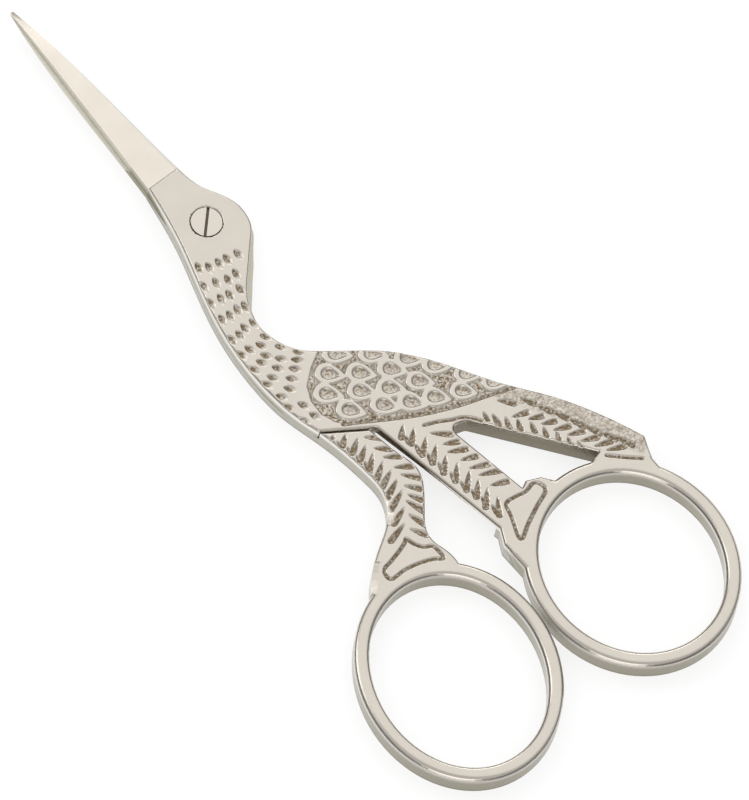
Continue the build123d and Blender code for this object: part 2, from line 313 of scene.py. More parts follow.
def ground_steel(colours):
    """Blade steel, ground crosswise and then plated: satin, with grinding lines across the blade."""
    metal, tree = new_metal("ground blade steel")
    place = add_node(tree, "ShaderNodeTexCoord").outputs["Object"]
    # Grinding lines are drawn 0.1 mm apart; the real ones are finer than a pixel.
    across = add_node(tree, "ShaderNodeMapping",
                      {"Vector": place, "Rotation": (0.0, 0.0, math.radians(12)),
                       "Scale": (0.06, 1.0, 0.3)})
    lines = add_node(tree, "ShaderNodeTexNoise",
                     {"Vector": across, "Scale": 1 / GRINDING_LINE, "Detail": 3.0})
    cloud = add_node(tree, "ShaderNodeTexNoise",
                     {"Vector": place, "Scale": 1 / BLADE_CLOUD, "Detail": 2.0})
    colour = add_node(tree, "ShaderNodeMix",
                      {"Factor": cloud, 6: linear(BLADE_SHADE), 7: linear(colours.blade)},
                      data_type="RGBA")
    # The blade's back and bevel are ground as well; they are painted only a little greyer, as painted
    # shade.
    wall = add_node(tree, "ShaderNodeAttribute", attribute_name="wall").outputs["Fac"]
    tone = add_node(tree, "ShaderNodeMix", {"Factor": wall, 6: colour, 7: linear(BLADE_BACK_SHADE)},
                    data_type="RGBA")
    rough = add_node(tree, "ShaderNodeMapRange", {"Value": lines, "To Min": 0.24, "To Max": 0.38})
    bump = add_node(tree, "ShaderNodeBump",
                    {"Height": lines, "Strength": 0.35, "Distance": GRINDING_DEPTH})
    finish_metal(tree, tone, rough, bump)
    return metal


def turned_steel(colours):
    """Turned screw steel: a fine ring grain round the axis, and painted shade from the slot downwards.
    """
    metal, tree = new_metal("turned screw steel")
    place = add_node(tree, "ShaderNodeTexCoord").outputs["Object"]
    rings = add_node(tree, "ShaderNodeTexWave",
                     {"Vector": place, "Scale": 1 / TURNING_RING, "Distortion": 0.6, "Detail": 2.0},
                     wave_type="RINGS", rings_direction="Z").outputs["Fac"]
    height = add_node(tree, "ShaderNodeSeparateXYZ", {"Vector": place}).outputs["Z"]
    # Painted shade: the screw turns dark brown from just under its face downwards.
    low = add_node(tree, "ShaderNodeMapRange",
                   {"Value": height, "From Min": SLOT_FROM, "From Max": SLOT_TO, "To Max": 0.9})
    colour = add_node(tree, "ShaderNodeMix",
                      {"Factor": low, 6: linear(colours.screw), 7: linear(SLOT_SHADE)},
                      data_type="RGBA")
    rough = add_node(tree, "ShaderNodeMapRange", {"Value": rings, "To Min": 0.26, "To Max": 0.34})
    bump = add_node(tree, "ShaderNodeBump",
                    {"Height": rings, "Strength": 0.2, "Distance": TURNING_DEPTH})
    finish_metal(tree, colour, rough, bump)
    return metal


# The formed skin of the halves

# Where one kind of surface ends and the next begins, in millimetres on the face.
BLADE_ROOT = 6.12
HEAD_END = -0.6
SCREW_ZONE = 2.2
LEG_FOOT = -26.6

# The rings' middles, and how far a ring reaches from its middle: upwards, downwards, where it is
# longer, and as far as it has no ornament at all.
REAR_RING = Vector((-11.3, -50.25))
FRONT_RING = Vector((8.9, -51.8))
RING_REACH = 11.2
RING_REACH_DOWN = 15.2
RING_PLAIN = 10.2

# Width over which the face rolls down to its edge: round the screw, on the rings, on the head
# and the blade, and where it is chased.
SCREW_ROLL = 0.05
RING_ROLL = 0.6
HEAD_ROLL = 0.26
CHASED_ROLL = 0.3

# Outlines in pixels of the photograph: the window between tail and leg, and the gap between the
# legs. The window's walls are left as cast; the gap's walls are painted dark, as painted shade.
WINDOW_EDGE = [(440, 412), (604, 446), (600, 460), (562, 474), (545, 484), (505, 500), (440, 440)]
LEG_GAP = [(380, 422), (398, 422), (436, 462), (424, 474), (380, 440)]

# Places, also in pixels, where the edge is filed into a broad facet, with the facet's width.
FACETS = [([(362, 561), (384, 561), (384, 592), (362, 592)], 0.85),
          ([(374, 493), (397, 493), (397, 524), (374, 524)], 0.7)]

# A face is a wall where its normal rises or falls less than the first, and an undercut where
# its normal falls more than the second.
WALL_SLOPE = 0.6
UNDERCUT_SLOPE = -0.2
SHARP_EDGE = math.radians(32)
# How much painted shade darkens the ring walls where they face straight down the picture.
RING_WALL_SHADE = 0.6

# The rim's edges are divided twice, first only the long ones, and the way to the rim is measured
# to points on it this near together.
RIM_STEPS = (2.0, 0.14)
RIM_SAMPLE = 0.03
# Rows of points follow the rim at these shares of the roll's width. A point goes if another
# stretch of rim is nearer than this share of its distance, or if it shares a cell, as a share of
# the mesh step, with one already there. The grid starts this share of a step past the roll.
ROLL_ROWS = (0.12, 0.34, 0.64, 1.0)
ROW_CLEARANCE = 0.93
ROW_CELL = 0.4
GRID_CLEARANCE = 0.5
# The ornament fades in over this distance from the rim.
FADE_IN = 0.16
UNDERSIDE_COARSER = 1.3
# A triangle lower than this has all its corners in line.
THIN = 1e-3
# Points nearer together than the first are one, and edges shorter than the second are none.
SAME_PLACE = 1e-7
NO_LENGTH = 1e-8


def edge_width(x, y):
    """Width over which the face rolls down to its edge, in millimetres."""
    if math.hypot(x, y) < SCREW_ZONE:
        return SCREW_ROLL
    width = facet_width(x, y)
    if width:
        return width
    if on_ring(x, y):
        return RING_ROLL
    return HEAD_ROLL if y > HEAD_END else CHASED_ROLL


def facet_width(x, y):
    for outline, low, high, width in FACET_ZONES:
        if low[0] < x < high[0] and low[1] < y < high[1] and within(x, y, outline):
            return width
    return 0.0


def on_ring(x, y):
    """Whether a place belongs to a finger ring. The rings are oval and run lowest at the bottom."""
    here = Vector((x, y))
    return any((here - ring).length < (RING_REACH if y > ring.y else RING_REACH_DOWN)
               for ring in (REAR_RING, FRONT_RING))


def is_plain(x, y):
    here = Vector((x, y))
    nearest = min((here - REAR_RING).length, (here - FRONT_RING).length)
    return nearest < RING_PLAIN or y > HEAD_END


def inside(points, ends_a, ends_b):
    """Which points lie inside the outline, counted by the edges crossed to their right."""
    odd = np.zeros(len(points), bool)
    x, y = points[:, 0], points[:, 1]
    for (ax, ay), (bx, by) in zip(ends_a, ends_b):
        if ay == by:
            continue
        crosses = (y < ay) != (y < by)
        odd ^= crosses & (x < ax + (y - ay) * (bx - ax) / (by - ay))
    return odd


def within(x, y, outline):
    corners = np.array(outline)
    return bool(inside(np.array([(x, y)]), corners, np.roll(corners, -1, axis=0))[0])


def facet_zone(outline, width):
    points = np.array([on_face(*p) for p in outline])
    return points, points.min(0), points.max(0), width


FACET_ZONES = [facet_zone(*facet) for facet in FACETS]


def cut_level(bm, level, upward):
    """Cuts the mesh at a level in metres and drops the outer side."""
    bmesh.ops.bisect_plane(bm, geom=bm.verts[:] + bm.edges[:] + bm.faces[:], dist=NO_LENGTH,
                           plane_co=(0, 0, level), plane_no=(0, 0, 1 if upward else -1),
                           clear_outer=True)


def rim_edges(bm, level):
    return [e for e in bm.edges
            if e.is_boundary and all(abs(v.co.z - level) < SAME_PLACE for v in e.verts)]


def divide_rim(bm, level):
    for step in RIM_STEPS:
        groups = {}
        for e in rim_edges(bm, level):
            cuts = math.ceil(e.calc_length() / MM / step) - 1
            if cuts > 0:
                groups.setdefault(cuts, []).append(e)
        for cuts, group in groups.items():
            bmesh.ops.subdivide_edges(bm, edges=group, cuts=cuts)


def distance_to(starts, runs):
    """A function that tells how far a place is from the rim, given its edges."""
    counts = [max(1, math.ceil(np.linalg.norm(run) / RIM_SAMPLE)) for run in runs]
    near = kdtree.KDTree(sum(counts))
    for start, run, count in zip(starts, runs, counts):
        for k in range(count):
            near.insert((*(start + run * (k / count)), 0.0), 0)
    near.balance()
    return lambda place: near.find((place[0], place[1], 0.0))[2]


def hex_grid(low, high, step):
    rows = np.arange(low[1], high[1], step * math.sqrt(3) / 2)
    columns = np.arange(low[0], high[0], step)
    x, y = np.meshgrid(columns, rows)
    x[1::2] += step / 2
    return np.column_stack([x.ravel(), y.ravel()])


def roll_points(starts, ends, away, cell):
    """Rows of points beside the rim, where the face rolls over."""
    run = ends - starts
    lengths = np.maximum(np.linalg.norm(run, axis=1), NO_LENGTH)
    normals = np.column_stack([-run[:, 1], run[:, 0]]) / lengths[:, None]
    rows = []
    for share in ROLL_ROWS:
        for sign in (1, -1):
            for middle, normal in zip((starts + ends) / 2, normals):
                offset = share * edge_width(*middle)
                point = middle + normal * offset * sign
                if away(point) > offset * ROW_CLEARANCE:
                    rows.append(point)
    rows = np.array(rows)
    taken, kept = set(), []
    for point in rows[inside(rows, starts, ends)]:
        key = (round(point[0] / cell), round(point[1] / cell))
        if key not in taken:
            taken.add(key)
            kept.append(point)
    return np.array(kept)


def grid_points(starts, ends, away, fine, coarse):
    """An even grid past the roll, fine where there is ornament and coarse elsewhere."""
    rim = np.vstack([starts, ends])
    low, high = rim.min(0), rim.max(0)
    dense, sparse = hex_grid(low, high, fine), hex_grid(low, high, coarse)
    grid = np.array([p for p in dense if not is_plain(*p)] + [p for p in sparse if is_plain(*p)])
    grid = grid[inside(grid, starts, ends)]
    return np.array([p for p in grid if away(p) > edge_width(*p) + fine * GRID_CLEARANCE])


def sheet_triangles(flat, faces, origin, pairs, ends_a, ends_b):
    """The triangles inside the outline. One so thin that its middle can't tell, along a straight
    run of the outline, belongs to the sheet if it touches the sheet past the outline's edges."""
    triangles = np.array(faces)
    corners = flat[triangles]
    first, second = corners[:, 1] - corners[:, 0], corners[:, 2] - corners[:, 0]
    doubled = np.abs(first[:, 0] * second[:, 1] - first[:, 1] * second[:, 0])
    longest = np.max(np.linalg.norm(corners - np.roll(corners, 1, axis=1), axis=2), axis=1)
    thin = doubled / np.maximum(longest, NO_LENGTH) < THIN
    sure = inside(corners.mean(axis=1), ends_a, ends_b) & ~thin
    where = {source: i for i, sources in enumerate(origin) for source in sources}
    outline = {frozenset((where[p], where[q])) for p, q in pairs}

    def sides(trio):
        return {frozenset((trio[k - 1], trio[k])) for k in range(3)} - outline

    kept = triangles[sure].tolist()
    reached = set().union(*(sides(trio) for trio in kept))
    waiting = triangles[thin].tolist()
    while True:
        joined = [trio for trio in waiting if sides(trio) & reached]
        if not joined:
            return np.array(kept)
        waiting = [trio for trio in waiting if trio not in joined]
        kept += joined
        for trio in joined:
            reached |= sides(trio)


def cap(bm, level, face_level, fine, coarse):
    """Closes the cut with a fine sheet that rolls over at its edge up to the face."""
    divide_rim(bm, level)
    edges = rim_edges(bm, level)
    verts = list({v for e in edges for v in e.verts})
    place = {v: i for i, v in enumerate(verts)}
    rim = np.array([v.co.xy for v in verts]) / MM
    pairs = [(place[e.verts[0]], place[e.verts[1]]) for e in edges]
    starts, ends = rim[[p[0] for p in pairs]], rim[[p[1] for p in pairs]]
    away = distance_to(starts, ends - starts)
    points = np.vstack([rim, roll_points(starts, ends, away, fine * ROW_CELL),
                        grid_points(starts, ends, away, fine, coarse)])
    out, _, faces, origin, _, _ = delaunay_2d_cdt([Vector(p) for p in points], pairs, [], 0,
                                                  SAME_PLACE, True)
    flat = np.array(out)
    triangles = sheet_triangles(flat, [f for f in faces if len(f) == 3], origin, pairs, starts, ends)

    side, free = (bm.verts.layers.float[mark] for mark in ("side", "free"))
    rise = face_level - level
    made = {}
    for i in set(triangles.ravel().tolist()):
        rim_index = [o for o in origin[i] if o < len(verts)]
        if rim_index:
            made[i] = verts[rim_index[0]]
            continue
        x, y = flat[i]
        distance = away((x, y))
        roll = 1.0 - min(distance / edge_width(x, y), 1.0)
        fall = roll if facet_width(x, y) else 1.0 - math.sqrt(max(0.0, 1.0 - roll * roll))
        made[i] = bm.verts.new((x * MM, y * MM, face_level - rise * fall))
        made[i][side] = math.copysign(1.0, rise)
        made[i][free] = min(1.0, distance / FADE_IN)
    for triangle in triangles:
        corners = [made[i] for i in (triangle if rise > 0 else reversed(triangle))]
        bm.faces.new(corners).smooth = True


def mark_surfaces(bm, skin, lap_shows):
    """Marks the blade's faces, the walls, what is left as cast, and where painted shade goes: the
    ring walls that face down the picture, the gap between the legs and the undercuts on the legs.
    """
    side, carved = (bm.verts.layers.float[mark] for mark in ("side", "carved"))
    ground, wall, cast = (bm.faces.layers.float[mark] for mark in ("ground", "wall", "cast"))
    window = [on_face(*p) for p in WINDOW_EDGE]
    gap = [on_face(*p) for p in LEG_GAP]
    for f in bm.faces:
        f.smooth = True
        middle = f.calc_center_median()
        here = middle.xy / MM
        f[ground] = float(middle.y > BLADE_ROOT * MM)
        if any(v[side] != 0 for v in f.verts):
            continue
        between = cad_low.z + skin < middle.z < cad_high.z - skin
        f[wall] = float(abs(f.normal.z) < WALL_SLOPE or (lap_shows and between))
        if f[wall] and on_ring(*here):
            # Painted shade: the more a ring wall faces down the picture, the darker and rougher it is
            # made.
            down = -f.normal.xy.dot(VIEW_UP.xy.normalized())
            f[cast] = RING_WALL_SHADE * max(0.0, down)
        # Painted shade: the walls in the gap between the legs take the cast colour and full patina, so
        # that they stand dark.
        if f[wall] and within(*here, gap):
            f[cast] = 1.0
            for v in f.verts:
                v[carved] = 1.0
        # Painted shade: downward faces on the legs take the cast colour. The window's walls take it
        # because they are left as cast.
        undercut = (f.normal.z < UNDERCUT_SLOPE and middle.z > 2 * skin
                    and middle.y < LEG_FOOT * MM)
        if undercut or (f[wall] and within(*here, window)):
            f[cast] = 1.0


def formed_half(node, name, shape):
    """The CAD half with a fine skin on both faces, ready for chasing. Walls, lap, bores and
    blade stay as they are."""
    bm = bmesh.new()
    bm.from_mesh(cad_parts[node].data)
    bmesh.ops.remove_doubles(bm, verts=bm.verts[:], dist=SAME_PLACE)
    bmesh.ops.dissolve_degenerate(bm, edges=bm.edges[:], dist=NO_LENGTH)
    for mark in ("side", "free", "carved", "stipple"):
        bm.verts.layers.float.new(mark)
    for mark in ("ground", "wall", "cast"):
        bm.faces.layers.float.new(mark)
    fine, coarse = shape.mesh_step / MM, shape.plain_step / MM
    underside = fine * UNDERSIDE_COARSER
    for face_level, inwards, step in ((cad_high.z, -1, fine), (cad_low.z, 1, underside)):
        level = face_level + inwards * shape.skin
        cut_level(bm, level, inwards < 0)
        cap(bm, level, face_level, step, coarse)
    bmesh.ops.triangulate(bm, faces=[f for f in bm.faces if len(f.verts) > 3])
    bmesh.ops.recalc_face_normals(bm, faces=bm.faces[:])
    if not all(e.is_manifold for e in bm.edges):
        raise RuntimeError(f"{name} isn't closed")
    side = bm.verts.layers.float["side"]
    for e in bm.edges:
        e.smooth = any(v[side] != 0 for v in e.verts) or e.calc_face_angle() < SHARP_EDGE
    # Only the lower half shows its lap, at the parting line, and the lap takes the walls' painted shade.
    mark_surfaces(bm, shape.skin, lap_shows=node == "rear_half")
    mesh = bpy.data.meshes.new(name)
    bm.to_mesh(mesh)
    bm.free()
    return scene_object(name, mesh)


# The guides and punches of the ornament

# The ground between the feathers lies this share of the punch's depth below the face.
FIELD_SHARE = 0.6

# Each punch's rings from its rim inwards: the share of the outline's size and of the depth.
DIMPLE_RINGS = ((1.0, 0.0), (0.9, 0.22), (0.75, 0.5), (0.5, 0.8), (0.25, 0.95))
FEATHER_RINGS = ((1.0, FIELD_SHARE), (0.98, 0.95), (0.94, 0.9), (0.9, 0.3), (0.86, 0.0),
                 (0.72, 0.0), (0.56, 0.02), (0.51, 0.35), (0.45, 0.8), (0.38, 1.0))
BARB_RINGS = ((1.0, 0.0), (0.9, 0.5), (0.76, 0.76), (0.5, 0.95), (0.3, 1.0))

# How far the deepest point of each punch lies from its middle, as a share of its length or width.
DIMPLE_SHIFT = 0.34
FEATHER_SHIFT = 0.03
BARB_SHIFT = 0.3
BARB_HEART = 0.15
# A dimple is this much deeper at its back end, and a feather's eye on its upper side.
DIMPLE_SLANT = 0.3
EYE_SLANT = 0.4
EYE_SHARE = 0.55


def scene_object(name, mesh, guide=False):
    """Puts a mesh into the scene. A guide isn't rendered, and goes once it has been used."""
    made = bpy.data.objects.new(name, mesh)
    bpy.context.scene.collection.objects.link(made)
    made.hide_render = guide
    return made


def flat_guide(name, places, edges=(), faces=()):
    """A guide from places on the face, in millimetres. It lies on the level of the ornament."""
    mesh = bpy.data.meshes.new(name)
    mesh.from_pydata([(x * MM, y * MM, 0.0) for x, y in places], edges, faces)
    return scene_object(name, mesh, guide=True)


def mark_guide(name, marks):
    """Guide points for a punch: each mark is (x, y, turn, long, wide), in millimetres."""
    guide = flat_guide(name, [mark[:2] for mark in marks])
    for label, column, unit in (("turn", 2, 1.0), ("long", 3, MM), ("wide", 4, MM)):
        layer = guide.data.attributes.new(label, "FLOAT", "POINT")
        layer.data.foreach_set("value", [mark[column] * unit for mark in marks])
    return guide


def line_guide(name, lines):
    """Engraved lines as runs of edges. Each line is a list of places in millimetres."""
    places, edges = [], []
    for line in lines:
        start = len(places)
        places += line
        edges += [(start + i, start + i + 1) for i in range(len(line) - 1)]
    return flat_guide(name, places, edges)


def punch(name, outline, rings, place, tip):
    """A punch in unit size with heights in metres: rings of points, joined in bands and closed at
    the tip. place(x, y, share, sunk) puts a point of the outline on a ring."""
    points = [place(x, y, share, sunk) for share, sunk in rings for x, y in outline]
    count = len(outline)
    sides = [(i, (i + 1) % count) for i in range(count)]
    faces = [(k + i, k + j, k + count + j, k + count + i)
             for k in range(0, len(points) - count, count) for i, j in sides]
    last = len(points) - count
    faces += [(last + i, last + j, len(points)) for i, j in sides]
    mesh = bpy.data.meshes.new(name)
    mesh.from_pydata(points + [tip], [], faces)
    return scene_object(name, mesh, guide=True)


def turns(count):
    """Even angles round a full turn."""
    return [2 * math.pi * i / count for i in range(count)]


def dimple_punch(depth):
    """A lens, steepest at its back end."""
    outline = [(math.cos(t) / 2, math.copysign(math.sin(t) ** 2, math.sin(t)) / 2) for t in turns(32)]

    def place(x, y, share, sunk):
        return (x * share - DIMPLE_SHIFT * (1 - share), y * share,
                -depth * sunk * (1 - DIMPLE_SLANT * x))

    return punch("dimple punch", outline, DIMPLE_RINGS, place, (-DIMPLE_SHIFT, 0.0, -depth * 1.1))


def feather_punch(depth):
    """A feather, round at the front and drawn to a point at the back: a raised border and a
    sunk eye, which is struck at a slant."""
    drop = [(math.cos(t) / 2, math.sin(t) * abs(math.sin(t / 2)) ** 0.9 / 2) for t in turns(48)]
    widest = max(y for _, y in drop) * 2
    outline = [(x, y / widest) for x, y in drop]

    def place(x, y, share, sunk):
        slant = EYE_SLANT if share < EYE_SHARE else 0.0
        return (x * share - FEATHER_SHIFT * (1 - share), y * share,
                -depth * sunk * (1 - 0.5 * slant + slant * y))

    return punch("feather punch", outline, FEATHER_RINGS, place, (-0.02, 0.0, -depth * 0.8))


def barb_punch(depth):
    """A slanted chisel cut, wide at its start and drawn to a point at its end. It is steep along
    one side and runs out along the other."""
    outline = []
    for t in turns(40):
        x = math.cos(t) / 2
        width = (1 - (x + 0.5) ** 2.4) * (1 - max(0.0, -2 * x) ** 14)
        outline.append((x, math.copysign(width, math.sin(t)) / 2))

    def place(x, y, share, sunk):
        return ((x + BARB_HEART) * (0.4 + 0.6 * share) - BARB_HEART,
                y * share - BARB_SHIFT * (1 - share) * (0.5 - x), -depth * sunk)

    return punch("barb punch", outline, BARB_RINGS, place, (-BARB_HEART, -0.14, -depth))


# The chasing

# How far above or below the face the ornament is looked for, in metres.
LOOK_FROM = 0.01
# The noise of the stippled ground is level at this value.
GRAIN_LEVEL = 0.35
# An engraved line is flat this share of its width to each side of its middle.
GROOVE_FLOOR = 0.14

TREE_INPUTS = {
    "Geometry": ("Geometry",),
    "Object": ("Places", "Punch", "Field", "Lines"),
    "Float": ("Field Depth", "Field Rim", "Grain Height", "Grain Size", "Line Width", "Line Depth",
              "Full Depth", "Stipple", "Deepest Wins"),
    "Material": ("Steel",)}


def chasing_tree():
    """Punches a pattern into both faces: punch marks at guide points, a sunk field and lines."""
    tree = bpy.data.node_groups.new("chasing", "GeometryNodeTree")
    tree.interface.new_socket("Geometry", in_out="OUTPUT", socket_type="NodeSocketGeometry")
    for kind, labels in TREE_INPUTS.items():
        for label in labels:
            tree.interface.new_socket(label, in_out="INPUT", socket_type="NodeSocket" + kind)
    given = add_node(tree, "NodeGroupInput").outputs
    places, stamp, field, lines = (
        add_node(tree, "GeometryNodeObjectInfo", {"Object": given[label]}).outputs["Geometry"]
        for label in TREE_INPUTS["Object"])
    turn, long, wide, side, free, carved, stipple, ground = (
        add_node(tree, "GeometryNodeInputNamedAttribute", {"Name": mark},
                 data_type="FLOAT").outputs["Attribute"]
        for mark in ("turn", "long", "wide", "side", "free", "carved", "stipple", "ground"))

    # The punch marks, as geometry below the level of the ornament.
    way = add_node(tree, "ShaderNodeCombineXYZ", {"Z": turn})
    size = add_node(tree, "ShaderNodeCombineXYZ", {"X": long, "Y": wide, "Z": 1.0})
    marks = add_node(tree, "GeometryNodeInstanceOnPoints",
                     {"Points": places, "Instance": stamp, "Rotation": way, "Scale": size})
    punched = add_node(tree, "GeometryNodeRealizeInstances", {0: marks})

    # Looking down finds the highest of two marks that overlap, looking up the deepest.
    spot = add_node(tree, "ShaderNodeSeparateXYZ",
                    {0: add_node(tree, "GeometryNodeInputPosition")}).outputs
    start_height = add_node(tree, "ShaderNodeMapRange",
                            {"Value": given["Deepest Wins"], "To Min": LOOK_FROM,
                             "To Max": -LOOK_FROM})
    start = add_node(tree, "ShaderNodeCombineXYZ",
                     {"X": spot["X"], "Y": spot["Y"], "Z": start_height})
    down = add_node(tree, "ShaderNodeMath", {0: start_height, 1: -1 / LOOK_FROM},
                    operation="MULTIPLY")
    aim = add_node(tree, "ShaderNodeCombineXYZ", {"Z": down})
    ray = add_node(tree, "GeometryNodeRaycast",
                   {"Target Geometry": punched, "Source Position": start, "Ray Direction": aim,
                    "Ray Length": 2 * LOOK_FROM}).outputs
    hit = ray["Is Hit"]
    mark_height = add_node(tree, "ShaderNodeSeparateXYZ", {0: ray["Hit Position"]}).outputs["Z"]

    # The sunk field with its grain, which fades out over its rim.
    flat = add_node(tree, "ShaderNodeCombineXYZ", {"X": spot["X"], "Y": spot["Y"]})
    area = add_node(tree, "GeometryNodeProximity", {0: field, "Sample Position": flat},
                    target_element="FACES").outputs
    fade = add_node(tree, "ShaderNodeMapRange",
                    {"Value": area["Distance"], "From Min": 0.0, "From Max": given["Field Rim"],
                     "To Min": 1.0, "To Max": 0.0}, interpolation_type="SMOOTHSTEP")
    covered = add_node(tree, "ShaderNodeMath", {0: fade, 1: area["Is Valid"]}, operation="MULTIPLY")
    fineness = add_node(tree, "ShaderNodeMath", {0: 1.0, 1: given["Grain Size"]}, operation="DIVIDE")
    grain = add_node(tree, "ShaderNodeTexNoise", {"Scale": fineness, "Detail": 2.0})
    swing = add_node(tree, "ShaderNodeMath", {0: grain, 1: GRAIN_LEVEL}, operation="SUBTRACT")
    uneven = add_node(tree, "ShaderNodeMath", {0: swing, 1: given["Grain Height"]},
                      operation="MULTIPLY")
    sunk = add_node(tree, "ShaderNodeMath", {0: uneven, 1: given["Field Depth"]},
                    operation="SUBTRACT")
    never_proud = add_node(tree, "ShaderNodeMath", {0: sunk, 1: 0.0}, operation="MINIMUM")
    field_height = add_node(tree, "ShaderNodeMath", {0: covered, 1: never_proud},
                            operation="MULTIPLY")
    relief = add_node(tree, "GeometryNodeSwitch",
                      {"Switch": hit, "False": field_height, "True": mark_height},
                      input_type="FLOAT")

    # The engraved lines.
    line = add_node(tree, "GeometryNodeProximity", {0: lines, "Sample Position": flat},
                    target_element="EDGES").outputs
    floor = add_node(tree, "ShaderNodeMath", {0: given["Line Width"], 1: GROOVE_FLOOR},
                     operation="MULTIPLY")
    half = add_node(tree, "ShaderNodeMath", {0: given["Line Width"], 1: 0.5}, operation="MULTIPLY")
    groove = add_node(tree, "ShaderNodeMapRange",
                      {"Value": line["Distance"], "From Min": floor, "From Max": half,
                       "To Min": 1.0, "To Max": 0.0}, interpolation_type="SMOOTHSTEP")
    cut = add_node(tree, "ShaderNodeMath", {0: groove, 1: line["Is Valid"]}, operation="MULTIPLY")
    cut_depth = add_node(tree, "ShaderNodeMath", {0: cut, 1: given["Line Depth"]},
                         operation="MULTIPLY")
    cut_height = add_node(tree, "ShaderNodeMath", {0: cut_depth, 1: -1.0}, operation="MULTIPLY")
    height = add_node(tree, "ShaderNodeMath", {0: relief, 1: cut_height}, operation="MINIMUM")

    # The face moves, and keeps how deeply it is carved and how dusty it is.
    loose = add_node(tree, "ShaderNodeMath", {0: side, 1: free}, operation="MULTIPLY")
    rise = add_node(tree, "ShaderNodeMath", {0: height, 1: loose}, operation="MULTIPLY")
    offset = add_node(tree, "ShaderNodeCombineXYZ", {"Z": rise})
    moved = add_node(tree, "GeometryNodeSetPosition",
                     {"Geometry": given["Geometry"], "Offset": offset})
    depth = add_node(tree, "ShaderNodeMath", {0: height, 1: -1.0}, operation="MULTIPLY")
    share = add_node(tree, "ShaderNodeMath", {0: depth, 1: given["Full Depth"]}, operation="DIVIDE")
    capped = add_node(tree, "ShaderNodeMath", {0: share, 1: 1.0}, operation="MINIMUM")
    faded = add_node(tree, "ShaderNodeMath", {0: capped, 1: free}, operation="MULTIPLY")
    deepest = add_node(tree, "ShaderNodeMath", {0: carved, 1: faded}, operation="MAXIMUM")
    bare = add_node(tree, "ShaderNodeMath", {0: 1.0, 1: hit}, operation="SUBTRACT")
    open_field = add_node(tree, "ShaderNodeMath", {0: covered, 1: bare}, operation="MULTIPLY")
    dusty = add_node(tree, "ShaderNodeMath", {0: open_field, 1: given["Stipple"]},
                     operation="MULTIPLY")
    dustiest = add_node(tree, "ShaderNodeMath", {0: stipple, 1: dusty}, operation="MAXIMUM")
    marked = moved
    for mark, value in (("carved", deepest), ("stipple", dustiest)):
        marked = add_node(tree, "GeometryNodeStoreNamedAttribute",
                          {"Geometry": marked, "Name": mark, "Value": value}, data_type="FLOAT")
    whole = add_node(tree, "GeometryNodeRealizeInstances", {0: marked})
    chased = add_node(tree, "ShaderNodeMath", {0: ground, 1: 0.5}, operation="LESS_THAN")
    coated = add_node(tree, "GeometryNodeSetMaterial",
                      {"Geometry": whole, "Selection": chased, "Material": given["Steel"]})
    add_node(tree, "NodeGroupOutput", {0: coated})
    return tree


def turn_and_length(start, end):
    """The middle, turn and length of a mark that runs between two pixels of the photograph."""
    ax, ay = on_face(*start)
    bx, by = on_face(*end)
    return (ax + bx) / 2, (ay + by) / 2, math.atan2(by - ay, bx - ax), math.hypot(bx - ax, by - ay)


# The places of the ornament

# Rows of dimples down the neck: the slant of the row's first and last dimple below the
# picture's level, in degrees, and the dimples' middles in pixels of the photograph.
NECK_ROWS = [
    (46, 60, [(239, 255), (228, 260), (220, 264), (210, 268.5), (199.5, 269)]),
    (55, 58, [(237, 275), (229, 281), (217, 284), (205, 288)]),
    (50, 58, [(241, 290), (230.5, 296), (222, 300), (212, 305)]),
    (55, 58, [(246, 307.5), (238.5, 311), (231, 317), (223, 321)]),
    (42, 48, [(255, 324), (246, 329), (241, 336), (233, 341)]),
    (18, 40, [(267, 337), (262.5, 346), (251, 350), (243, 356)]),
    (12, 30, [(282, 347), (267.5, 356), (263, 363), (256, 370.5)]),
    (8, 26, [(300, 352), (282, 359), (279, 368.5), (274, 378), (269, 385)]),
    (8, 18, [(298.5, 360), (296, 369), (293, 379), (291, 389), (283, 397)]),
    (26, 28, [(304.5, 405.5), (290, 408)]),
    (26, 26, [(316, 416), (305, 421)]),
]
# A dimple's length in pixels and its width in millimetres.
DIMPLE_LONG = 15.5
DIMPLE_WIDE = 0.72


def neck_marks():
    marks = []
    for first, last, row in NECK_ROWS:
        for k, (px, py) in enumerate(row):
            slant = math.radians(first + (last - first) * k / max(1, len(row) - 1))
            dx, dy = math.cos(slant) * DIMPLE_LONG / 2, math.sin(slant) * DIMPLE_LONG / 2
            x, y, turn, length = turn_and_length((px - dx, py - dy), (px + dx, py + dy))
            marks.append((x, y, turn, length, DIMPLE_WIDE))
    return marks


# The slant of each row of wing feathers, in degrees, and the middles of their eyes in pixels.
FEATHER_ROWS = [
    (8, [(338, 354), (374, 354), (410, 358), (437, 365), (468, 374), (495, 382)]),
    (10, [(331, 374), (362, 373), (393, 369), (421, 381), (464, 391)]),
    (10, [(329.5, 394), (363, 391), (392, 388), (437, 397)]),
    (14, [(352, 410), (386, 405), (413, 402)]),
]
# From the third feather of a row on, each is smaller by this share.
FEATHER_SHRINK = 0.05


def feather_marks(shape):
    marks = []
    for slant, row in FEATHER_ROWS:
        dx, dy = math.cos(math.radians(slant)), math.sin(math.radians(slant))
        for k, (px, py) in enumerate(row):
            x, y, turn, _ = turn_and_length((px - dx, py - dy), (px + dx, py + dy))
            size = (1.0 - FEATHER_SHRINK * max(0, k - 2)) / MM
            marks.append((x, y, turn, shape.feather_length * size, shape.feather_width * size))
    return marks


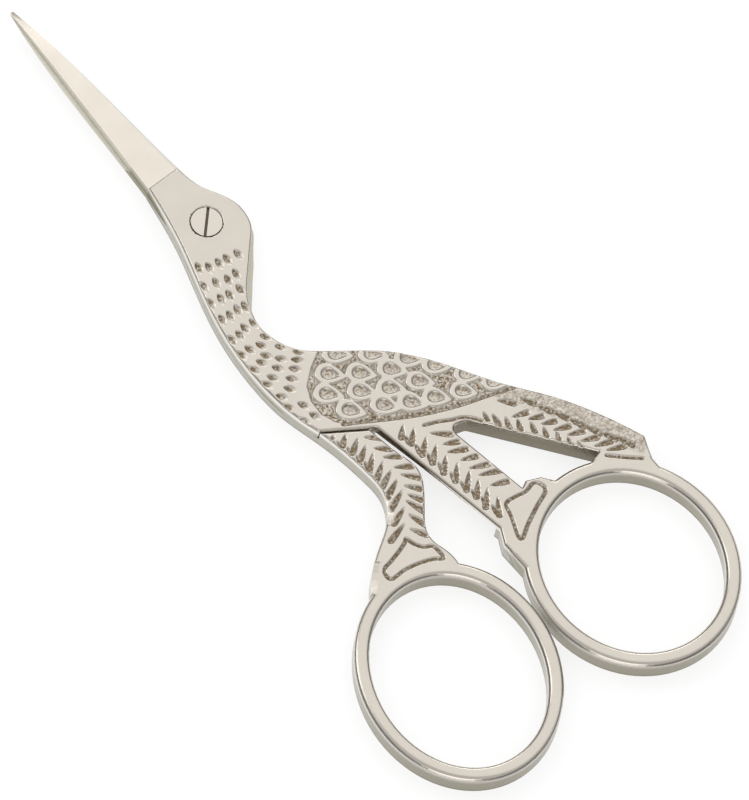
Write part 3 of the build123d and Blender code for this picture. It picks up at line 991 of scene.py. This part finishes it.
# The wing's sunk field and its lower border line, in pixels.
WING_BORDER = [(321, 349), (313, 368), (309, 386), (313, 400), (323, 413), (336, 420), (344, 422),
               (360, 420), (393, 416), (426, 411), (459.5, 403), (488, 393.5), (511, 386),
               (530, 383), (530, 340), (420, 320), (330, 330)]
WING_LINE = [(344, 424), (360, 421.5), (393, 418), (426, 413), (459.5, 404.6), (488, 395),
             (513, 387)]

# Barb cuts as (start, end) in pixels of the photograph.
FRONT_LEG_BARBS = [
    ((403, 425), (401, 439)), ((414, 428), (411, 445)), ((426, 437), (422, 456)),
    ((436, 445), (432, 464)), ((446, 455), (443, 474)), ((457, 463), (455, 482)),
    ((469, 471), (466, 491)), ((478, 480), (476, 498)), ((487, 488), (485, 508)),
    ((497, 497), (499, 516)),
    ((452, 434.5), (430, 433)), ((459, 441.5), (443, 444)), ((467, 449), (447, 452)),
    ((477, 456), (460, 460)), ((489, 464), (469, 468)), ((501, 470), (478, 475)),
    ((508, 481), (490, 485)),
    ((404, 435), (409, 443)), ((415, 444), (420, 453)), ((427, 453), (431, 461)),
    ((438, 462), (442, 470)), ((450, 472), (455, 481)), ((460, 481), (466, 489)),
    ((471, 489), (475, 496)), ((481, 496), (485, 504)), ((491, 504), (497, 513)),
]
REAR_LEG_BARBS = [
    ((334, 434), (331, 442)), ((346, 434), (342, 447)), ((358, 438), (352, 454)),
    ((366, 445), (359, 463)), ((373, 453), (369, 472)), ((383, 461), (376, 481)),
    ((391, 470), (381, 488)), ((397, 479), (387, 497)), ((402, 490), (391, 508)),
    ((404, 507), (393, 524)), ((404, 523), (390, 541)),
    ((383, 438), (364, 437)), ((392, 449), (374, 448)), ((402, 456), (383, 457)),
    ((413, 466), (394, 467)), ((421, 478), (401, 474)), ((422, 489), (404, 485)),
    ((423, 500), (408, 494)), ((424, 511), (406, 500)), ((425, 524), (409, 514)),
    ((428, 535), (410, 528)),
    ((337, 441), (342, 448)), ((347, 447), (352, 455)), ((356, 455), (361, 464)),
    ((364, 461), (370, 472)),
]
TAIL_BARBS = [
    ((483, 412), (488, 421)), ((492, 414), (500, 427)), ((505, 417), (510, 430)),
    ((517, 419), (521, 432)), ((530, 422), (535, 433)), ((543, 427), (547, 438)),
    ((556, 431), (559, 441)), ((567, 437), (571, 446)), ((577, 441), (582, 449)),
    ((515, 404), (497, 400)), ((528, 412), (512, 417)), ((543, 416), (528, 419)),
    ((556, 421), (541, 424)), ((570, 426), (553, 430)), ((584, 431), (567, 435)),
    ((598, 437), (580, 441)), ((612, 441), (594, 446)), ((625, 446), (606, 450)),
    ((536, 404), (520, 398)), ((552, 412), (538, 405)), ((568, 419), (553, 411)),
    ((585, 427), (568, 418)), ((601, 434), (585, 426)), ((617, 440), (601, 432)),
    ((633, 445), (617, 437)),
]
# The tail's rough ground, the lines over the front leg, and the lines round the ankles.
TAIL_FIELD = [(497, 396), (520, 402), (560, 416), (600, 432), (640, 450), (648, 436), (600, 405),
              (560, 390), (524, 380)]
REAR_ANKLE_LINE = [
    (406, 538), (414, 543), (423, 546), (432, 545), (438, 549.5), (443, 557), (433, 558),
    (419, 562), (404, 569), (391, 578), (384, 569), (391, 560), (399, 550), (405, 541), (406, 538)]
FRONT_ANKLE_LINE = [
    (534, 482), (545, 489), (536, 506), (527, 524), (522, 537), (517.6, 535), (511, 516),
    (505.6, 503), (515, 496), (525, 491), (534, 482)]
FRONT_LINES = [
    [(424, 425), (438, 421.5), (452, 419.5), (460, 417.5), (470, 417.5), (482, 421)],
    [(606, 455), (625, 457), (642, 458)],
    FRONT_ANKLE_LINE]

# A cut runs out so finely at its ends that it shows shorter than it is. Its width is in
# millimetres, but no more than the last share of its length.
BARB_LONGER = 1.2
BARB_WIDE = 0.66
BARB_STOUTEST = 0.5


def barb_marks(barbs):
    marks = []
    for start, end in barbs:
        # The steep cuts down the left are drawn to their point at the top.
        if abs(end[1] - start[1]) > abs(end[0] - start[0]):
            start, end = end, start
        x, y, turn, length = turn_and_length(start, end)
        width = min(BARB_WIDE, length * BARB_STOUTEST)
        marks.append((x, y, turn, length * BARB_LONGER, width))
    return marks


def smooth_line(line, per_run=5):
    """A Catmull-Rom line through pixel places, on the face in millimetres."""
    closed = line[0] == line[-1]
    points = [np.array(p, float) for p in line]
    made = []
    last = len(points) - 1
    for i in range(last):
        before = points[i - 1] if i else (points[last - 1] if closed else points[0])
        after = points[i + 2] if i + 2 <= last else (points[1] if closed else points[last])
        p, q = points[i], points[i + 1]
        for k in range(per_run):
            t = k / per_run
            made.append(0.5 * (2 * p + (q - before) * t
                               + (2 * before - 5 * p + 4 * q - after) * t ** 2
                               + (3 * p - before - 3 * q + after) * t ** 3))
    made.append(points[last])
    return [on_face(*p) for p in made]


def chase(piece, steel, patterns):
    """Runs the chasing tree once for each pattern, then turns the result into a plain mesh."""
    tree = bpy.data.node_groups.get("chasing") or chasing_tree()
    sockets = {item.name: item.identifier for item in tree.interface.items_tree
               if item.in_out == "INPUT"}
    for pattern in patterns:
        modifier = piece.modifiers.new("chasing", "NODES")
        modifier.node_group = tree
        for label, value in {**pattern, "Steel": steel}.items():
            modifier[sockets[label]] = value
    bpy.context.view_layer.update()
    evaluated = piece.evaluated_get(bpy.context.evaluated_depsgraph_get())
    mesh = bpy.data.meshes.new_from_object(evaluated)
    piece.modifiers.clear()
    piece.data = mesh
    mesh.name = piece.name
    for pattern in patterns:
        for guide in pattern.values():
            if isinstance(guide, bpy.types.Object):
                bpy.data.objects.remove(guide)


# A pattern without a field still gives its sizes, so that nothing is divided by nothing.
NO_FIELD = {"Field Rim": 0.2 * MM, "Grain Size": 0.3 * MM}
WING_RIM = 0.3 * MM
WING_GRAIN = 0.28 * MM
TAIL_DEPTH = 0.07 * MM
TAIL_RIM = 0.6 * MM
TAIL_GRAIN_HEIGHT = 0.45 * MM
TAIL_GRAIN = 0.45 * MM
TAIL_FULL_DEPTH = 0.15 * MM
TAIL_DUST = 0.5
# The line round the wing is this much wider and deeper than the others.
WING_LINE_WIDER = 1.3
WING_LINE_DEEPER = 1.4
# Patina is fully brown at this share of the dimples' depth, and of the field's.
DIMPLE_FULL = 0.85
FEATHER_FULL = 1.25


def neck_pattern(shape):
    return {**NO_FIELD, "Places": mark_guide("neck places", neck_marks()),
            "Punch": dimple_punch(shape.dimple_depth),
            "Full Depth": shape.dimple_depth * DIMPLE_FULL, "Line Width": shape.groove_width}


def wing_pattern(shape):
    border = [on_face(*p) for p in WING_BORDER]
    return {"Places": mark_guide("wing places", feather_marks(shape)),
            "Punch": feather_punch(shape.field_depth),
            "Full Depth": shape.field_depth * FEATHER_FULL,
            "Field": flat_guide("wing field", border, faces=[range(len(border))]),
            "Field Depth": shape.field_depth * FIELD_SHARE, "Field Rim": WING_RIM,
            "Grain Height": shape.grain_height, "Grain Size": WING_GRAIN, "Stipple": 1.0,
            "Lines": line_guide("wing lines", [smooth_line(WING_LINE)]),
            "Line Width": shape.groove_width * WING_LINE_WIDER,
            "Line Depth": shape.groove_depth * WING_LINE_DEEPER}


def tail_pattern(shape):
    border = [on_face(*p) for p in TAIL_FIELD]
    return {"Field": flat_guide("tail field", border, faces=[range(len(border))]),
            "Field Depth": TAIL_DEPTH, "Field Rim": TAIL_RIM, "Full Depth": TAIL_FULL_DEPTH,
            "Grain Height": TAIL_GRAIN_HEIGHT, "Grain Size": TAIL_GRAIN, "Stipple": TAIL_DUST,
            "Line Width": shape.groove_width}


def barb_pattern(shape, name, barbs, lines):
    return {**NO_FIELD, "Places": mark_guide(name + " places", barb_marks(barbs)),
            "Punch": barb_punch(shape.barb_depth), "Full Depth": shape.barb_depth,
            "Deepest Wins": 1.0,
            "Lines": line_guide(name + " lines", [smooth_line(p) for p in lines]),
            "Line Width": shape.groove_width, "Line Depth": shape.groove_depth}


def finish_half(piece, steel, node, body):
    """Gives the blade its own steel, and says what the half replaces and rides on."""
    mesh = piece.data
    blade_faces = mesh.attributes.get("ground")
    if blade_faces is None:
        raise RuntimeError(f"{piece.name} has lost the mark of its blade faces")
    values = np.zeros(len(mesh.polygons), np.float32)
    blade_faces.data.foreach_get("value", values)
    mesh.materials.clear()
    mesh.materials.append(steel)
    mesh.materials.append(material("ground blade steel", ground_steel))
    mesh.polygons.foreach_set("material_index", (values > 0.5).astype(np.int32))
    mesh.update()
    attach(piece, body)
    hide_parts(node)


def material(name, make):
    return bpy.data.materials.get(name) or make(bpy.context.scene.scissors_colours)


class SCISSORS_OT_upper_half(bpy.types.Operator):
    """Builds the half that shows on top: blade, head, body, wing, tail, front leg and its ring"""

    bl_idname = "scissors.upper_half"
    bl_label = "Upper half"

    def execute(self, context):
        shape = context.scene.scissors_shape
        piece = formed_half("front_half", "upper_half", shape)
        steel = material("polished nickel-plated steel", polished_nickel)
        chase(piece, steel, [
            neck_pattern(shape), wing_pattern(shape), tail_pattern(shape),
            barb_pattern(shape, "front", FRONT_LEG_BARBS + TAIL_BARBS, FRONT_LINES)])
        finish_half(piece, steel, "front_half", "front_side")
        return {"FINISHED"}


class SCISSORS_OT_lower_half(bpy.types.Operator):
    """Builds the half underneath: blade, under-neck, rear leg and its ring"""

    bl_idname = "scissors.lower_half"
    bl_label = "Lower half"

    def execute(self, context):
        shape = context.scene.scissors_shape
        piece = formed_half("rear_half", "lower_half", shape)
        steel = material("polished nickel-plated steel", polished_nickel)
        chase(piece, steel, [neck_pattern(shape), wing_pattern(shape),
                             barb_pattern(shape, "rear", REAR_LEG_BARBS, [REAR_ANKLE_LINE])])
        finish_half(piece, steel, "rear_half", "rear_side")
        return {"FINISHED"}


class SCISSORS_OT_screw(bpy.types.Operator):
    """Gives the slotted pivot screw its turned steel"""

    bl_idname = "scissors.pivot_screw"
    bl_label = "Pivot screw"

    def execute(self, context):
        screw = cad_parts["pivot_screw"]
        screw.data.materials.clear()
        screw.data.materials.append(material("turned screw steel", turned_steel))
        return {"FINISHED"}


class SCISSORS_OT_stage(bpy.types.Operator):
    """Sets up the floor, the lamps and the camera"""

    bl_idname = "scissors.stage"
    bl_label = "Studio"

    def execute(self, context):
        scene = context.scene
        build_floor(scene)
        build_world(scene)
        build_lamps(scene)
        build_camera(scene)
        scene.view_settings.view_transform = "Standard"
        return {"FINISHED"}


# The studio

# Half the floor's side, in metres. It lies a hair below the part, so that they don't coincide.
FLOOR_REACH = 4.0
FLOOR_LEVEL = -0.02 * MM
# The floor's own glow, and how far it takes the place of the lamps' light on it.
FLOOR_GLOW = 1.1
GLOW_SHARE = 0.7

# The studio's light grows between these heights of view, from the first strength to the second.
HORIZON, ZENITH = 0.12, 0.72
HORIZON_LIGHT, ZENITH_LIGHT = 0.16, 0.7

# Each lamp's direction from the middle of the part, its width and height in metres, and its watts.
LAMPS = {
    "overhead soft box": ((0.45, 0.27, 0.86), 0.85, 0.85, 1.12),
    "back strip": ((0.56, 0.66, 0.5), 0.5, 0.12, 0.34),
    "front soft box": ((-0.69, -0.58, 0.40), 0.5, 0.3, 0.7),
    "left soft box": ((-0.3, 0.6, 0.66), 0.3, 0.36, 0.5)}
LAMP_TARGET = Vector((0.0, -0.02, 0.0))
LAMP_DISTANCE = 0.7

SENSOR_WIDTH = 36.0
LENS_LENGTH = 1000.0
CLIP_START, CLIP_END = 0.01, 50.0


def build_floor(scene):
    """White paper that glows by itself where it is seen or mirrored, so that it looks white in
    little light and keeps the part's shadow."""
    corners = [(x * FLOOR_REACH, y * FLOOR_REACH, FLOOR_LEVEL)
               for x, y in ((-1, -1), (1, -1), (1, 1), (-1, 1))]
    mesh = bpy.data.meshes.new("studio floor")
    mesh.from_pydata(corners, [], [(0, 1, 2, 3)])
    floor = scene_object("studio floor", mesh)
    paper = bpy.data.materials.new("white paper floor")
    paper.use_nodes = True
    tree = paper.node_tree
    tree.nodes.clear()
    colour = linear(scene.scissors_colours.paper)
    matt = add_node(tree, "ShaderNodeBsdfDiffuse", {"Color": colour})
    glow = add_node(tree, "ShaderNodeEmission", {"Color": colour, "Strength": FLOOR_GLOW})
    path = add_node(tree, "ShaderNodeLightPath").outputs
    seen = add_node(tree, "ShaderNodeMath", {0: path["Is Camera Ray"], 1: path["Is Glossy Ray"]},
                    operation="MAXIMUM")
    looked_at = add_node(tree, "ShaderNodeMath", {0: seen, 1: path["Is Transmission Ray"]},
                         operation="MAXIMUM")
    share = add_node(tree, "ShaderNodeMath", {0: looked_at, 1: GLOW_SHARE}, operation="MULTIPLY")
    mixed = add_node(tree, "ShaderNodeMixShader", {0: share, 1: matt, 2: glow})
    add_node(tree, "ShaderNodeOutputMaterial", {"Surface": mixed})
    floor.data.materials.append(paper)


def build_world(scene):
    """A plain studio, dim near the horizon, which draws a darker line along each rounded edge."""
    world = bpy.data.worlds.new("studio")
    scene.world = world
    world.use_nodes = True
    tree = world.node_tree
    tree.nodes.clear()
    way = add_node(tree, "ShaderNodeTexCoord").outputs["Generated"]
    height = add_node(tree, "ShaderNodeSeparateXYZ", {"Vector": way}).outputs["Z"]
    strength = add_node(tree, "ShaderNodeMapRange",
                        {"Value": height, "From Min": HORIZON, "From Max": ZENITH,
                         "To Min": HORIZON_LIGHT, "To Max": ZENITH_LIGHT},
                        interpolation_type="SMOOTHSTEP")
    sky = add_node(tree, "ShaderNodeBackground", {"Color": linear(WHITE), "Strength": strength})
    add_node(tree, "ShaderNodeOutputWorld", {"Surface": sky})


def build_lamps(scene):
    """Four soft lamps: a large box overhead, a strip behind, and boxes in front and on the left."""
    for name, (direction, width, height, power) in LAMPS.items():
        lamp = bpy.data.lights.new(name, "AREA")
        lamp.shape = "RECTANGLE"
        lamp.size, lamp.size_y = width, height
        lamp.energy = power
        holder = bpy.data.objects.new(name, lamp)
        scene.collection.objects.link(holder)
        way = Vector(direction).normalized()
        holder.location = LAMP_TARGET + way * LAMP_DISTANCE
        holder.rotation_mode = "QUATERNION"
        holder.rotation_quaternion = way.to_track_quat("Z", "Y")


def build_camera(scene):
    """A long lens far away, so that the part is seen almost without perspective."""
    lens = bpy.data.cameras.new("camera")
    lens.sensor_width = SENSOR_WIDTH
    lens.lens = LENS_LENGTH
    lens.dof.use_dof = False
    camera = bpy.data.objects.new("camera", lens)
    scene.collection.objects.link(camera)
    distance = IMAGE_LONG_SIDE * PIXEL * MM * LENS_LENGTH / SENSOR_WIDTH
    aim = PIVOT_TOP * MM + (VIEW_RIGHT * (IMAGE_CENTRE[0] - PIVOT_PIXEL[0])
                            - VIEW_UP * (IMAGE_CENTRE[1] - PIVOT_PIXEL[1])) * PIXEL * MM
    camera.location = aim + VIEW_TOWARD * distance
    camera.rotation_mode = "QUATERNION"
    axes = Matrix((VIEW_RIGHT, VIEW_UP, VIEW_TOWARD)).transposed()
    camera.rotation_quaternion = axes.to_quaternion()
    lens.clip_start, lens.clip_end = CLIP_START, CLIP_END
    scene.camera = camera


class SCISSORS_PT_panel(bpy.types.Panel):
    """Lists the pieces and their sizes"""

    bl_idname = "SCISSORS_PT_panel"
    bl_label = "Embroidery scissors"
    bl_space_type = "VIEW_3D"
    bl_region_type = "UI"
    bl_category = "Scissors"

    def draw(self, context):
        layout = self.layout
        for group in (context.scene.scissors_shape, context.scene.scissors_colours):
            box = layout.box()
            for key in group.bl_rna.properties.keys():
                if key not in ("rna_type", "name"):
                    box.prop(group, key)
        for operator in OPERATORS:
            layout.operator(operator.bl_idname)


OPERATORS = (SCISSORS_OT_upper_half, SCISSORS_OT_lower_half, SCISSORS_OT_screw, SCISSORS_OT_stage)
CLASSES = (ScissorsShape, ScissorsColours, *OPERATORS, SCISSORS_PT_panel)


def register():
    for cls in CLASSES:
        bpy.utils.register_class(cls)
    bpy.types.Scene.scissors_shape = bpy.props.PointerProperty(type=ScissorsShape)
    bpy.types.Scene.scissors_colours = bpy.props.PointerProperty(type=ScissorsColours)


def unregister():
    del bpy.types.Scene.scissors_colours
    del bpy.types.Scene.scissors_shape
    for cls in reversed(CLASSES):
        bpy.utils.unregister_class(cls)


def main():
    register()
    bpy.ops.scissors.upper_half()
    bpy.ops.scissors.lower_half()
    bpy.ops.scissors.pivot_screw()
    bpy.ops.scissors.stage()
    bpy.context.view_layer.update()


if __name__ == "__main__":
    main()
